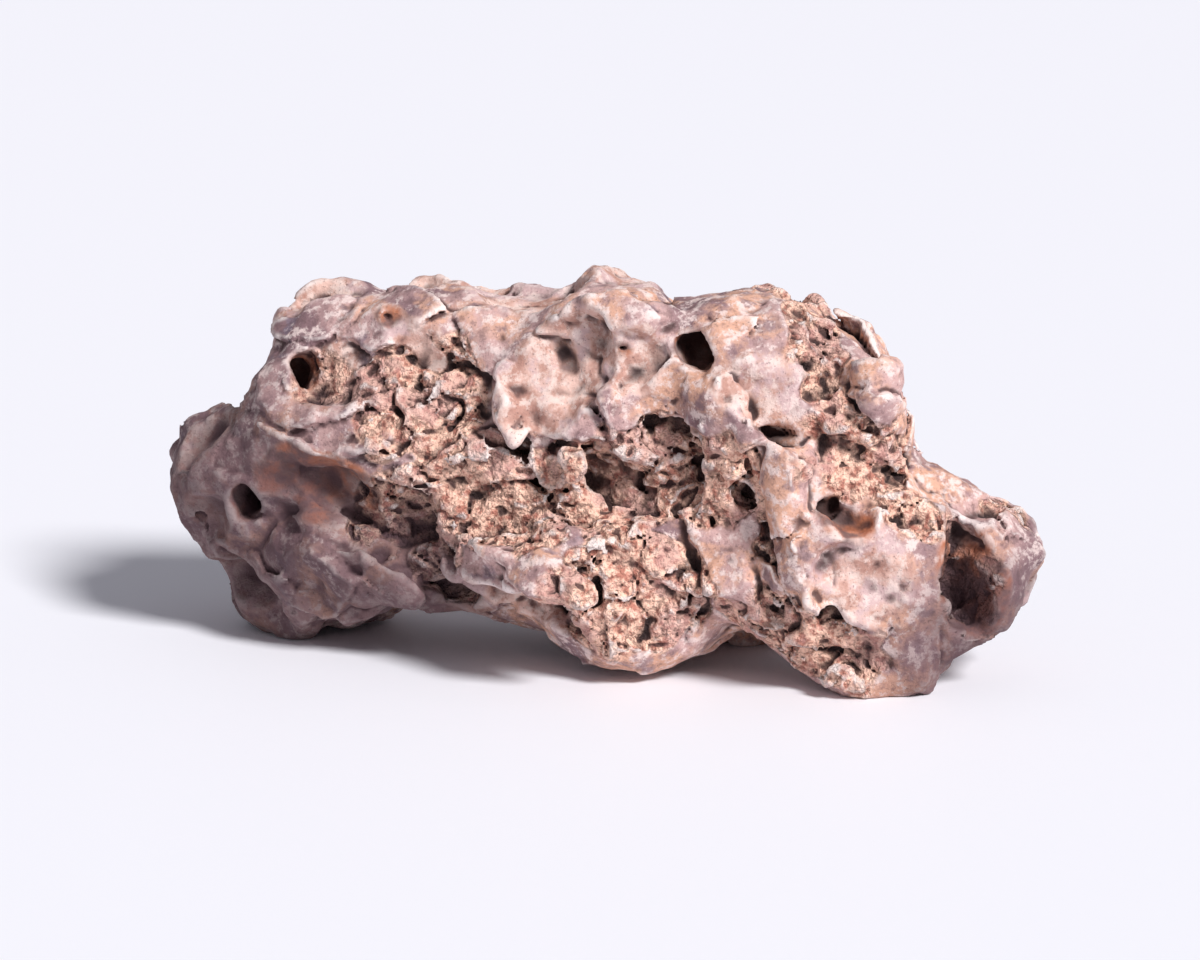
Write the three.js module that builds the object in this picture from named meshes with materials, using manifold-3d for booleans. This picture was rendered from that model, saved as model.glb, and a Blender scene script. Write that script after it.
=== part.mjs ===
// A dragon stone: one weathered lump of hard clay, hollowed by water, lying on three worn feet.
// Millimetres, +Z up. X runs along the stone, and -Y is its most pitted side.
// The origin is on the surface that it rests on, under the middle of its box.
import * as THREE from "three";
import { mergeVertices } from "three/addons/utils/BufferGeometryUtils.js";
import Module from "manifold-3d";

const wasm = await Module();
wasm.setup();

// Driving dimensions
const JOIN = 6; // how far lumps melt into each other
const BOSS_JOIN = 3; // how far a boss melts into the lump under it
const SKIN_ROWS = 38; // rows of faces from the left tip to the right tip
const SKIN_COLUMNS = 37; // faces round the stone
const TIP_ROWS = 8; // rows on each rounded tip
const EVENINGS = 8; // times that the faces are spread evenly over the stone
const FACE_WIDTH = 8; // how wide one face of a hollow is, about
const OUTSIDE = 95; // further than any point of the stone from its middle
const PAST_MIDDLE = 45; // how far past the middle a line into the stone is followed
const SWELL_SIZE = 1.5; // how far the whole stone is bent by slow waves
const LAYER = { size: 15, rise: 2.8, seed: 0 }; // the broken faces, and how far one can stand out
const CHIP = { size: 6, rise: 0.9, seed: 10 }; // the smaller chips
const FACING = 0.5; // how far a hollow's axis turns from its side's own to face its patch of stone
const TRAY = { lift: 0.5, bend: 0.6 }; // how far a tray's mouth opens, and how far ripples bend it
const SCOOP = { bend: 0.4 };
const HOLE = { bend: 0.3 };
const SCATTERED = { count: 34, atEachEnd: 3, lift: 0.3, bend: 0.5 }; // small hollows off the pitted side

// Lumps that melt together into the whole: centre, half sizes, and yaw and roll in degrees
const LUMPS = [
  { name: "head", at: [-48.5, 21, 39], half: [18.5, 21, 25.5], yaw: 0, roll: 12 },
  { name: "left end", at: [-64, 24, 28], half: [14, 18, 17], yaw: 0, roll: 0 },
  { name: "left bulge", at: [-42, 14, 17], half: [20, 18, 13], yaw: -10, roll: 4 },
  { name: "waist", at: [-27, 15, 41], half: [28, 25, 27], yaw: -15, roll: 0 },
  { name: "crown", at: [2, 6, 45], half: [24, 27, 26], yaw: -15, roll: 0 },
  { name: "belly", at: [-2, 3, 22], half: [38, 25, 17], yaw: -18, roll: 0 },
  { name: "shoulder", at: [28, -4, 47.5], half: [21, 25, 25], yaw: -15, roll: 0 },
  { name: "corner", at: [44, -13, 47.5], half: [11, 16, 15], yaw: 0, roll: 0 },
  { name: "hip", at: [42, -14, 24], half: [29, 22, 19], yaw: -8, roll: 6 },
  { name: "nose", at: [63, -15, 19.5], half: [15, 15, 13], yaw: 0, roll: 12 },
  { name: "front foot", at: [50, -21, 8], half: [15, 12, 12], yaw: 0, roll: 0 },
  { name: "back foot", at: [18, 18, 8], half: [20, 13, 12], yaw: 0, roll: 0 },
  { name: "left foot", at: [-52, 27, 8], half: [18, 13, 11], yaw: 0, roll: 0 },
  { name: "middle foot", at: [6, -10, 10], half: [16, 12, 11], yaw: 0, roll: 0 },
];

// What water and weather did to the pitted side. at is across and up, half is the mouth's half width and
// height, turn is in degrees, lean slants the hollow's inner end, and lift opens its mouth wider.
const BOSSES = [
  { name: "crown boss", at: [3, 66], half: [12, 4.5], height: 2.6, turn: 0 },
  { name: "corner boss", at: [49.5, 55], half: [5, 7], height: 2.4, turn: 0 },
  { name: "smooth patch", at: [22, 26], half: [6, 6.5], height: 1.6, turn: 0 },
  { name: "grey facet", at: [33, 38], half: [5.5, 8.5], height: 2.4, turn: 15 },
  { name: "left bulge", at: [-44, 15], half: [13, 7], height: 2.5, turn: 5 },
  { name: "lip", at: [-16, 22], half: [14, 1.8], height: 1.8, turn: -8 },
];
const TRAYS = [
  { name: "brow", at: [-33.6, 50], half: [9.5, 10], depth: 2.2, turn: -20 },
  { name: "under the brow", at: [-38, 28], half: [8.5, 6], depth: 1.6, turn: 15 },
  { name: "bulge", at: [-29, 19], half: [6, 7], depth: 1.2, turn: 0 },
  { name: "middle left", at: [-18, 34], half: [21, 8], depth: 2.0, turn: 6 },
  { name: "middle right", at: [13, 40], half: [19, 7.5], depth: 2.2, turn: 4 },
  { name: "belly", at: [5, 18], half: [11, 10], depth: 1.6, turn: 0 },
  { name: "hip", at: [36, 11], half: [13, 6], depth: 1.8, turn: -10 },
  { name: "groove", at: [39, 60], half: [4, 13], depth: 2.0, turn: 18 },
  { name: "under the corner", at: [43, 43.5], half: [9, 6], depth: 2.4, turn: -10 },
  { name: "nose", at: [54, 35], half: [6, 4], depth: 1.5, turn: -30 },
];
const SCOOPS = [
  { name: "cheek", at: [-50.5, 52.4], half: [5.6, 6.2], depth: 8, turn: 0, lean: [-0.5, 0], lift: 0.1 },
  { name: "trough", at: [-34.5, 59.5], half: [6.5, 2], depth: 3.5, turn: -38, lean: [0, 0.2], lift: 0.2 },
  { name: "big scoop", at: [-10, 59], half: [12, 9.5], depth: 5.5, turn: 10, lean: [0, 0.3], lift: 0.4 },
  { name: "its tip", at: [-13, 50], half: [6, 8], depth: 3.6, turn: -8, lean: [0, 0.2], lift: 0.4 },
  { name: "dimple", at: [5.7, 60.5], half: [4, 3], depth: 2.2, turn: 0, lean: [0, 0.2], lift: 0.4 },
  { name: "slab slope", at: [27, 58], half: [9.5, 7], depth: 1.8, turn: -35, lean: [0, 0.3], lift: 0.5 },
  { name: "lower cheek", at: [-56, 32.5], half: [11, 6.5], depth: 6, turn: -8, lean: [0, 0.1], lift: 0.3 },
  { name: "belly", at: [-16, 15], half: [11, 5.5], depth: 4.5, turn: 0, lean: [0, 0.1], lift: 0.3 },
  { name: "hip", at: [46, 24.5], half: [10, 8], depth: 3.4, turn: -30, lean: [0, 0.1], lift: 0.45 },
  { name: "nose", at: [65.5, 21.5], half: [5.5, 11], depth: 9, turn: 12, lean: [-0.3, 0], lift: 0.2 },
  { name: "recess", at: [41.5, 34.5], half: [4.2, 3.6], depth: 7, turn: -30, lean: [0, 0.2], lift: 0.1 },
  { name: "side crack", at: [31, 24.5], half: [2.4, 6.5], depth: 4, turn: 25, lean: [0, 0], lift: 0.2 },
  { name: "left low", at: [-67, 11], half: [8, 5], depth: 5, turn: 0, lean: [0, 0], lift: 0.3 },
];
const HOLES = [
  { name: "cheek", at: [-53.5, 53.2], half: [2.6, 3.4], depth: 17, turn: 0, lean: [-0.5, 0], lift: 0.05 },
  { name: "brow", at: [-39.2, 62.3], half: [2.4, 1.7], depth: 12, turn: -15, lean: [-0.3, 0.1], lift: 0.05 },
  { name: "crown", at: [15.6, 61.5], half: [4.2, 2.8], depth: 15, turn: -10, lean: [0.1, 0.2], lift: 0.05 },
  { name: "ear", at: [-65.5, 28], half: [2.5, 3.6], depth: 13, turn: 0, lean: [0.2, 0], lift: 0.05 },
  { name: "recess", at: [39.8, 36], half: [2.2, 2.4], depth: 14, turn: 0, lean: [0, 0.1], lift: 0.05 },
];

// The way into the stone from each side, and what across and up mean there
const SIDES = {
  front: { inward: [0, 1, 0], across: [1, 0, 0], up: [0, 0, 1] },
  back: { inward: [0, -1, 0], across: [1, 0, 0], up: [0, 0, 1] },
  top: { inward: [0, 0, -1], across: [1, 0, 0], up: [0, 1, 0] },
  under: { inward: [0, 0, 1], across: [1, 0, 0], up: [0, 1, 0] },
  left: { inward: [1, 0, 0], across: [0, 1, 0], up: [0, 0, 1] },
  right: { inward: [-1, 0, 0], across: [0, 1, 0], up: [0, 0, 1] },
};

const vector = (list) => new THREE.Vector3(...list);
const fraction = (x) => x - Math.floor(x);

// Slow waves that bend every shape a little: direction and pitch, then phase
const SWELLS = [
  [0.11, 0.05, 0.07, 0.4],
  [-0.06, 0.13, 0.04, 1.9],
  [0.05, -0.08, 0.15, 3.1],
  [0.21, 0.12, -0.09, 5.0],
  [-0.13, 0.22, 0.17, 2.2],
];
// The same, quicker, for the outlines of hollows
const RIPPLES = [
  [0.55, 0.21, 0.33, 0.9],
  [-0.31, 0.47, 0.52, 2.6],
  [0.62, -0.49, 0.18, 4.4],
  [0.84, 0.58, -0.75, 1.3],
  [-0.71, 1.02, 0.66, 3.7],
];

function waves(list, x, y, z) {
  return list.reduce(
    (sum, [kx, ky, kz, phase], n) => sum + Math.sin(kx * x + ky * y + kz * z + phase) / (1 + 0.6 * n),
    0,
  );
}

function bent(list, amount, x, y, z) {
  return [
    amount * waves(list, x, y, z),
    amount * waves(list, y + 31, z - 12, x + 7),
    amount * waves(list, z + 5, x - 40, y),
  ];
}

// Distance to an ellipsoid, good near its surface
function ellipsoidDistance(p, half) {
  const near = Math.hypot(p.x / half[0], p.y / half[1], p.z / half[2]) + 1e-9;
  const slope = Math.hypot(p.x / half[0] ** 2, p.y / half[1] ** 2, p.z / half[2] ** 2) + 1e-9;
  return (near * (near - 1)) / slope;
}

function melt(a, b, width) {
  const share = Math.min(Math.max(0.5 + (0.5 * (b - a)) / width, 0), 1);
  return b * (1 - share) + a * share - width * share * (1 - share);
}

// Each shape that makes up the smooth stone has the matrix that takes a point into its own frame
const shapes = LUMPS.map(({ at, half, yaw, roll }) => ({
  half,
  width: JOIN,
  toOwn: new THREE.Matrix4()
    .makeRotationZ((yaw * Math.PI) / 180)
    .multiply(new THREE.Matrix4().makeRotationY((roll * Math.PI) / 180))
    .setPosition(...at)
    .invert(),
}));

// Distance to the smooth stone, below 0 inside
function smoothStone(x, y, z) {
  const [bx, by, bz] = bent(SWELLS, SWELL_SIZE, x, y, z);
  const p = new THREE.Vector3();
  let nearest = OUTSIDE;
  for (const { half, width, toOwn } of shapes) {
    const seen = p.set(x + bx, y + by, z + bz).applyMatrix4(toOwn);
    nearest = melt(nearest, ellipsoidDistance(seen, half), width);
  }
  return nearest;
}

const chance = (i, j, k, m) =>
  fraction(Math.sin(i * 12.9898 + j * 78.233 + k * 37.719 + m * 53.117) * 4375.85453);

// Space is broken into cells round scattered points, and each cell tilts its own way
function brokenFace(x, y, z, { size, rise, seed }) {
  const q = [x / size, y / size, z / size];
  const base = q.map(Math.floor);
  let nearest = 9;
  let slant = 0;
  for (const i of [-1, 0, 1])
    for (const j of [-1, 0, 1])
      for (const k of [-1, 0, 1]) {
        const cell = [base[0] + i, base[1] + j, base[2] + k];
        const away = cell.map((c, m) => c + chance(...cell, m + seed) - q[m]);
        const gap = away[0] ** 2 + away[1] ** 2 + away[2] ** 2;
        if (gap < nearest) {
          nearest = gap;
          slant = away.reduce((sum, a, m) => sum + (2 * chance(...cell, m + 4 + seed) - 1) * a, 0);
        }
      }
  return rise * slant;
}

function roughStone(x, y, z) {
  const [rx, ry, rz] = bent(RIPPLES, 0.5, x, y, z);
  const p = [x + rx, y + ry, z + rz];
  return smoothStone(x, y, z) + brokenFace(...p, LAYER) + brokenFace(...p, CHIP);
}

// Walks from outside towards a point inside, and returns how far from that point the stone begins
function reach(distanceAt, inside, outward) {
  let far = OUTSIDE + PAST_MIDDLE;
  const gap = (r) => {
    const p = inside.clone().addScaledVector(outward, r);
    return distanceAt(p.x, p.y, p.z);
  };
  while (far > 0 && gap(far) > 0) far -= Math.max(0.25, 0.5 * gap(far));
  let inner = far;
  let outer = far + 1;
  for (let n = 0; n < 12; n++) {
    const middle = (inner + outer) / 2;
    if (gap(middle) > 0) outer = middle;
    else inner = middle;
  }
  return (inner + outer) / 2;
}

// The way out of the stone at a point
function slope(distanceAt, p) {
  const far = 0.4;
  return new THREE.Vector3(
    distanceAt(p.x + far, p.y, p.z) - distanceAt(p.x - far, p.y, p.z),
    distanceAt(p.x, p.y + far, p.z) - distanceAt(p.x, p.y - far, p.z),
    distanceAt(p.x, p.y, p.z + far) - distanceAt(p.x, p.y, p.z - far),
  ).normalize();
}

function joined(geometry) {
  geometry.deleteAttribute("normal");
  geometry.deleteAttribute("uv");
  return mergeVertices(geometry, 1e-4);
}

function asSolid(geometry) {
  const whole = joined(geometry);
  return new wasm.Manifold(
    new wasm.Mesh({
      numProp: 3,
      vertProperties: whole.attributes.position.array,
      triVerts: new Uint32Array(whole.index.array),
    }),
  );
}

// The whole stone's skin: a capsule along its spine, each point pushed out to the surface of the lumps
function skin() {
  const spine = new THREE.QuadraticBezierCurve3(
    new THREE.Vector3(-54, 23, 33),
    new THREE.Vector3(-2, 6, 40),
    new THREE.Vector3(58, -16, 24),
  );
  const long = SKIN_ROWS - 2 * TIP_ROWS;
  const capsule = new THREE.CapsuleGeometry(1, long, TIP_ROWS, SKIN_COLUMNS, long);
  capsule.rotateZ(-Math.PI / 2);
  const places = capsule.attributes.position;
  const p = new THREE.Vector3();
  for (let n = 0; n < places.count; n++) {
    p.fromBufferAttribute(places, n);
    const along = Math.min(Math.max(p.x / long + 0.5, 0), 1);
    const start = spine.getPoint(along);
    const outward = p.clone().sub(new THREE.Vector3((along - 0.5) * long, 0, 0)).normalize();
    const end = start.clone().addScaledVector(outward, reach(roughStone, start, outward));
    places.setXYZ(n, end.x, end.y, end.z);
  }
  return asSolid(evened(joined(capsule)));
}

// Slides every corner to the middle of its neighbours and back onto the stone, so steep sides get faces too
function evened(geometry) {
  const places = geometry.attributes.position;
  const neighbours = Array.from({ length: places.count }, () => new Set());
  const corners = geometry.index.array;
  for (let n = 0; n < corners.length; n += 3)
    for (const [a, b] of [[0, 1], [1, 2], [2, 0]]) {
      neighbours[corners[n + a]].add(corners[n + b]);
      neighbours[corners[n + b]].add(corners[n + a]);
    }
  for (let round = 0; round < EVENINGS; round++) {
    const moved = neighbours.map((near) => {
      const middle = new THREE.Vector3();
      for (const n of near) middle.add(new THREE.Vector3().fromBufferAttribute(places, n));
      return middle.divideScalar(near.size);
    });
    moved.forEach((p, n) => {
      for (let step = 0; step < 2; step++)
        p.addScaledVector(slope(smoothStone, p), -smoothStone(p.x, p.y, p.z));
      places.setXYZ(n, p.x, p.y, p.z);
    });
  }
  for (let n = 0; n < places.count; n++) {
    const p = new THREE.Vector3().fromBufferAttribute(places, n);
    const outward = slope(smoothStone, p);
    for (let step = 0; step < 3; step++) p.addScaledVector(outward, -0.8 * roughStone(p.x, p.y, p.z));
    places.setXYZ(n, p.x, p.y, p.z);
  }
  return geometry;
}

// Where a hollow's mouth meets the smooth stone
function mouth(side, at) {
  const inward = vector(side.inward);
  const inside = vector(side.across)
    .multiplyScalar(at[0])
    .addScaledVector(vector(side.up), at[1])
    .addScaledVector(inward, PAST_MIDDLE);
  return inside.addScaledVector(inward, -reach(smoothStone, inside, inward.clone().negate()));
}

// The frame of a hollow or a boss: its depth axis goes into the stone, and square is how far that axis
// turns from the side's own to face its patch of stone
function settled(side, { at, turn = 0, lean = [0, 0] }, sunk, square) {
  const spin = (turn * Math.PI) / 180;
  const start = mouth(side, at);
  const away = vector(side.inward)
    .multiplyScalar(1 - square)
    .addScaledVector(slope(smoothStone, start), -square)
    .addScaledVector(vector(side.across), lean[0])
    .addScaledVector(vector(side.up), lean[1])
    .normalize();
  const right = vector(side.across)
    .multiplyScalar(Math.cos(spin))
    .addScaledVector(vector(side.up), Math.sin(spin));
  right.addScaledVector(away, -right.dot(away)).normalize();
  const up = away.clone().cross(right);
  return new THREE.Matrix4().makeBasis(right, up, away).setPosition(start.addScaledVector(away, -sunk));
}

for (const boss of BOSSES)
  shapes.push({
    half: [...boss.half, boss.height],
    width: BOSS_JOIN,
    toOwn: settled(SIDES.front, boss, 0, 1).invert(),
  });

// A bent ellipsoid that cuts a hollow
function hollow(side, cut) {
  const { half, depth, lift, bend } = cut;
  const deep = depth / (1 - lift);
  const wider = 1 / Math.sqrt(1 - lift * lift);
  const splits = Math.min(Math.max(Math.round(Math.max(...half) / FACE_WIDTH), 1), 3);
  const shape = new THREE.IcosahedronGeometry(1, splits);
  shape.scale(half[0] * wider, half[1] * wider, deep);
  shape.applyMatrix4(settled(side, cut, lift * deep, FACING));
  const places = shape.attributes.position;
  for (let n = 0; n < places.count; n++) {
    const p = [places.getX(n), places.getY(n), places.getZ(n)];
    const b = bent(RIPPLES, bend, ...p);
    places.setXYZ(n, p[0] - b[0], p[1] - b[1], p[2] - b[2]);
  }
  return asSolid(shape);
}

// Hollows over the top, back, underside and ends, spread by steps that never fall into rows
function* scatteredHollows() {
  const { count, atEachEnd, lift, bend } = SCATTERED;
  for (let n = 0; n < count; n++) {
    const x = -68 + 136 * fraction(0.5 + n * 0.7549);
    const place = fraction(0.5 + n * 0.5698);
    const size = 4.5 + 6 * fraction(n * 0.618) ** 2;
    const stretch = 1 + 0.9 * fraction(n * 0.27);
    const cut = { depth: 2.5 + 5 * fraction(n * 0.382), turn: 360 * fraction(n * 0.41), lift, bend };
    const half = (share) => [share * size * stretch, share * size];
    if (place < 0.3) yield ["top", { ...cut, at: [x, 2 - 0.3 * x + 70 * place], half: half(0.8) }];
    else if (place < 0.85) yield ["back", { ...cut, at: [x, 8 + 102 * (place - 0.3)], half: half(1) }];
    else yield ["under", { ...cut, at: [x, -20 + 267 * (place - 0.85)], half: half(0.7) }];
  }
  for (let n = 0; n < atEachEnd; n++) {
    const size = 4.5 + 3 * fraction(n * 0.3);
    const cut = { depth: 3.5, turn: 50 * n, lift, bend, half: [1.3 * size, size] };
    yield ["left", { ...cut, at: [8 + 26 * fraction(n * 0.618), 24 + 30 * fraction(n * 0.7549)] }];
    yield ["right", { ...cut, at: [-18 + 22 * fraction(n * 0.618), 14 + 30 * fraction(n * 0.7549)] }];
  }
}

function stoneGeometry() {
  let stone = skin();
  const drawn = [[TRAYS, TRAY], [SCOOPS, SCOOP], [HOLES, HOLE]];
  for (const [list, ways] of drawn)
    for (const cut of list) stone = stone.subtract(hollow(SIDES.front, { ...ways, ...cut }));
  for (const [side, cut] of scatteredHollows()) {
    const start = mouth(SIDES[side], cut.at);
    if (smoothStone(start.x, start.y, start.z) < 1) stone = stone.subtract(hollow(SIDES[side], cut));
  }
  const floor = new THREE.BoxGeometry(400, 400, 100).translate(0, 0, -50);
  stone = stone.subtract(asSolid(floor));
  const largest = stone.decompose().sort((a, b) => b.volume() - a.volume())[0];
  const mesh = largest.getMesh();
  const geometry = new THREE.BufferGeometry()
    .setAttribute("position", new THREE.BufferAttribute(new Float32Array(mesh.vertProperties), 3))
    .setIndex(new THREE.BufferAttribute(mesh.triVerts, 1));
  geometry.computeBoundingBox();
  const middle = geometry.boundingBox.getCenter(new THREE.Vector3());
  geometry.translate(-middle.x, -middle.y, 0);
  geometry.computeVertexNormals();
  return geometry;
}

const weatheredClay = new THREE.MeshStandardMaterial({ color: 0x9a8378, roughness: 0.95, metalness: 0 });
const stone = new THREE.Mesh(stoneGeometry(), weatheredClay);
stone.name = "stone";

const dragonStone = new THREE.Group();
dragonStone.add(stone);
export default dragonStone;
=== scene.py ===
# %% [markdown]
# # A dragon stone
#
# Dragon stone is hard dry clay that water has eaten into. Where it resisted, a smooth grey-pink skin is
# left, worn pale along its edges. Where it gave way there are round hollows with sharp lips, and bands
# of orange crumbs with dark gaps between them.
#
# It could be sculpted by hand, or a ball could be pushed in and out by textures. But a pushed ball tears
# where a lip hangs over or two holes meet, so here the stone is one field: a number at each point of
# space that says how far the stone is. Hollows are cut from it and roughness is added to it while it is
# still only numbers, and one closed mesh is read off at the end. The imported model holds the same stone
# with fewer faces. It stays as the frame, and this stone stands for it.

# %% Load the frame
import math

import bpy
import numpy as np
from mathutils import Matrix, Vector


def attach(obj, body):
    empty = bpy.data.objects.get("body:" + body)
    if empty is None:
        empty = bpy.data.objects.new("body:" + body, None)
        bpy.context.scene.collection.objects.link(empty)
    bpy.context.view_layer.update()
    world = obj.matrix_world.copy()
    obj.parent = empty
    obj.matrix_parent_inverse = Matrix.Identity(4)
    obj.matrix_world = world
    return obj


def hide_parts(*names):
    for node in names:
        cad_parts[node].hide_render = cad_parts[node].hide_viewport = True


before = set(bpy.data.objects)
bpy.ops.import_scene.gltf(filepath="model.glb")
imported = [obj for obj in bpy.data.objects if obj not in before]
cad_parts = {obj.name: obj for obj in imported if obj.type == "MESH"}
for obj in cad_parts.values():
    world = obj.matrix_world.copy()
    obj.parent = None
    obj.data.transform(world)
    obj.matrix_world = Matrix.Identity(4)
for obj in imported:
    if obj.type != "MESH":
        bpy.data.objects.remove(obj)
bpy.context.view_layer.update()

# %% [markdown]
# ## The lumps
#
# A stone like this has no straight line to start from, only masses: a tall head, a crown, a shoulder, a
# low nose, and the feet that it lies on. Each is an ellipsoid here, because a few of them that melt
# together give a whole shape that is easy to change, one mass at a time. The stone is drawn in
# millimetres, X along it, Z up, with -Y its most pitted side.

# %% Lumps
# Each has its centre, its half sizes, and its turns about Z and Y in degrees
LUMPS = [
    ("head", (-48.5, 21, 39), (18.5, 21, 25.5), 0, 12),
    ("left end", (-64, 24, 28), (14, 18, 17), 0, 0),
    ("left bulge", (-42, 14, 17), (20, 18, 13), -10, 4),
    ("waist", (-27, 15, 41), (28, 25, 27), -15, 0),
    ("crown", (2, 6, 45), (24, 27, 26), -15, 0),
    ("belly", (-2, 3, 22), (38, 25, 17), -18, 0),
    ("shoulder", (28, -4, 47.5), (21, 25, 25), -15, 0),
    ("corner", (44, -13, 47.5), (11, 16, 15), 0, 0),
    ("hip", (42, -14, 24), (29, 22, 19), -8, 6),
    ("nose", (63, -15, 19.5), (15, 15, 13), 0, 12),
    ("front foot", (50, -21, 8), (15, 12, 12), 0, 0),
    ("back foot", (18, 18, 8), (20, 13, 12), 0, 0),
    ("left foot", (-52, 27, 8), (18, 13, 11), 0, 0),
    ("middle foot", (6, -10, 10), (16, 12, 11), 0, 0),
]
LUMP_JOIN = 6.0  # how far lumps melt into each other


def lump_axes(yaw, roll):
    c, s = math.cos(math.radians(yaw)), math.sin(math.radians(yaw))
    d, t = math.cos(math.radians(roll)), math.sin(math.radians(roll))
    return np.array([(c * d, s * d, -t), (-s, c, 0), (c * t, s * t, d)])


shapes = [((lump_axes(yaw, roll), centre), half, LUMP_JOIN) for _, centre, half, yaw, roll in LUMPS]
print(len(shapes), "lumps")

# %% [markdown]
# ## Bent space
#
# Ellipsoids alone would look like eggs. Weathered clay has no round outline anywhere, so space itself is
# bent by slow waves before the lumps are measured in it. The quick waves further down bend the hollows
# in the same way. Waves were chosen over noise here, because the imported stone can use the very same
# ones.

# %% Waves
# Each wave is its direction and pitch along X, Y and Z, then where it starts
SWELLS = [
    (0.11, 0.05, 0.07, 0.4),
    (-0.06, 0.13, 0.04, 1.9),
    (0.05, -0.08, 0.15, 3.1),
    (0.21, 0.12, -0.09, 5.0),
    (-0.13, 0.22, 0.17, 2.2),
]
SWELL_SIZE = 1.5  # mm


def waves(kinds, x, y, z):
    """The sum of all waves of a kind, each weaker than the one before."""
    return sum(
        np.sin(kx * x + ky * y + kz * z + phase) / (1 + 0.6 * n)
        for n, (kx, ky, kz, phase) in enumerate(kinds)
    )


def bent(kinds, amount, x, y, z):
    """The points moved by waves, a different sum of them along each axis."""
    return (
        x + amount * waves(kinds, x, y, z),
        y + amount * waves(kinds, y + 31, z - 12, x + 7),
        z + amount * waves(kinds, z + 5, x - 40, y),
    )


moved = bent(SWELLS, SWELL_SIZE, 0, 0, 0)
print("swells move the origin by", [round(float(v), 2) for v in moved], "mm")

# %% [markdown]
# ## The smooth stone
#
# The distance to each lump is measured in the lump's own frame, and the nearest lump wins. Where two are
# about as near, the two distances are blended and a little is taken off, which fills the crease between
# them the way clay fills a joint. That is all the melting there is.

# %% Distance to the smooth stone
OUTSIDE = 95.0  # further than any point of the stone from its middle


def own_frame(place, x, y, z):
    """Points seen from a shape: place is its three axes and its origin."""
    axes, origin = place
    x, y, z = x - origin[0], y - origin[1], z - origin[2]
    return [a[0] * x + a[1] * y + a[2] * z for a in axes]


def ellipsoid_distance(points, half):
    near = np.sqrt(sum((p / h) ** 2 for p, h in zip(points, half))) + 1e-9
    slope = np.sqrt(sum((p / h**2) ** 2 for p, h in zip(points, half))) + 1e-9
    return near * (near - 1) / slope


def melt(a, b, width):
    """The nearer of two distances, rounded off where they are alike."""
    share = np.clip(0.5 + 0.5 * (b - a) / width, 0, 1)
    return b * (1 - share) + a * share - width * share * (1 - share)


def smooth_stone(x, y, z):
    """Distance to the smooth stone, below 0 inside."""
    x, y, z = bent(SWELLS, SWELL_SIZE, x, y, z)
    nearest = OUTSIDE
    for place, half, width in shapes:
        nearest = melt(nearest, ellipsoid_distance(own_frame(place, x, y, z), half), width)
    return nearest


print("the middle of the stone is", round(-float(smooth_stone(0.0, 0.0, 35.0)), 1), "mm under its surface")

# %% [markdown]
# ## Finding a place on the stone
#
# A hollow or a boss is easiest to give as a carver would point at it: on this side, so far across, so
# far up. A straight line into the stone from there finds where the surface is, and how it slopes. The
# shape is then turned to face its patch, so that a shallow bowl on a slope stays shallow.

# %% Places
# The way into the stone from each side, and what across and up mean there
SIDES = {
    "front": ((0, 1, 0), (1, 0, 0), (0, 0, 1)),
    "back": ((0, -1, 0), (1, 0, 0), (0, 0, 1)),
    "top": ((0, 0, -1), (1, 0, 0), (0, 1, 0)),
    "under": ((0, 0, 1), (1, 0, 0), (0, 1, 0)),
    "left": ((1, 0, 0), (0, 1, 0), (0, 0, 1)),
    "right": ((-1, 0, 0), (0, 1, 0), (0, 0, 1)),
}
PAST_MIDDLE = 45.0  # mm past the middle that the line is followed
LINE_STEP = 0.1  # mm between the points tried along it
SLOPE_REACH = 0.4  # mm to each side over which the slope is measured


def mouth(side, at):
    """Where a straight line into the stone from one side meets it."""
    inward, across, up = np.array(SIDES[side], float)
    far = np.arange(-OUTSIDE, PAST_MIDDLE, LINE_STEP)
    points = (at[0] * across + at[1] * up)[:, None] + inward[:, None] * far
    return points[:, np.argmax(smooth_stone(*points) < 0)]


def slope(point):
    """The way out of the smooth stone at a point."""
    near = point[:, None] + SLOPE_REACH * np.hstack([np.eye(3), -np.eye(3)])
    d = smooth_stone(*near)
    out = d[:3] - d[3:]
    return out / np.linalg.norm(out)


def settled(side, at, turn, lean, sunk, square):
    """A frame with its depth axis into the stone. square is how far that axis turns to face its patch."""
    inward, across, up = np.array(SIDES[side], float)
    start = mouth(side, at)
    away = inward * (1 - square) - square * slope(start) + lean[0] * across + lean[1] * up
    away /= np.linalg.norm(away)
    spin = math.radians(turn)
    right = math.cos(spin) * across + math.sin(spin) * up
    right -= away * (right @ away)
    right /= np.linalg.norm(right)
    return np.array([right, np.cross(away, right), away]), start - away * sunk


print("the middle of the pitted side is at", mouth("front", (0, 35)).round(1))

# %% [markdown]
# ## Bosses
#
# Some patches of the pitted side resisted best and stand out by 2 or 3 mm: smooth plates, a lip, the
# crown's front. They are flat ellipsoids laid on the smooth stone and melted into it with a tighter join
# than the lumps have, so that their outline still shows.

# %% Bosses
# Each has: across and up, half width and height, how far it stands out, turn
BOSSES = [
    ("crown boss", (3, 66), (12, 4.5), 2.6, 0),
    ("corner boss", (49.5, 55), (5, 7), 2.4, 0),
    ("smooth patch", (22, 26), (6, 6.5), 1.6, 0),
    ("grey facet", (33, 38), (5.5, 8.5), 2.4, 15),
    ("left bulge", (-44, 15), (13, 7), 2.5, 5),
    ("lip", (-16, 22), (14, 1.8), 1.8, -8),
]
BOSS_JOIN = 3.0  # how far a boss melts into what is under it

for _, at, half, height, turn in BOSSES:
    shapes.append((settled("front", at, turn, (0, 0), 0, 1), (*half, height), BOSS_JOIN))
print(len(shapes), "lumps and bosses")

# %% [markdown]
# ## A grid round the stone
#
# The field is worked out at the points of a fine grid, with about four points across the smallest crumb
# that is worth a real shape. A finer grid would cost more time than it shows, and finer grain is left to
# the material.

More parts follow.
